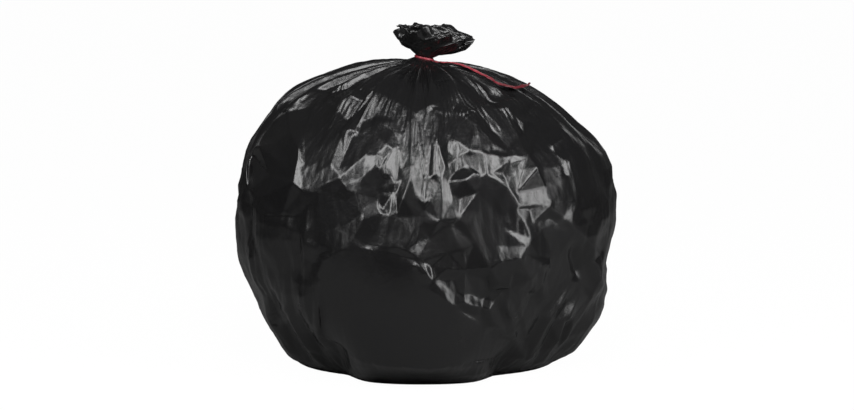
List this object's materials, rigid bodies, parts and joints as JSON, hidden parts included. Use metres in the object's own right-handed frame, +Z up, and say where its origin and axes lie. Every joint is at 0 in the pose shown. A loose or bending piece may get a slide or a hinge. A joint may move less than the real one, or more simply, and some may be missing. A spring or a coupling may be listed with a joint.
{
  "type": "filled bin bag",
  "caption": "Full black plastic bin bag standing on its base, neck gathered and tied with a thin red tape, with pleated shoulders and a crumpled tuft of film on top.",
  "frame": {"origin": "middle of the bag's plan on the floor it stands on", "axes": "+Z up, +X to the right of the pictured side, -Y towards the viewer"},
  "size_m": [0.4606, 0.4414, 0.4068],
  "materials": {
    "bag_film": "thin black polythene film, glossy and crinkled",
    "tie_tape": "thin red polythene tape, creased along its length"
  },
  "bodies": {
    "root": {"bag": "bag_film", "tie_loop": "tie_tape", "tie_tail": "tie_tape"}
  },
  "joints": []
}
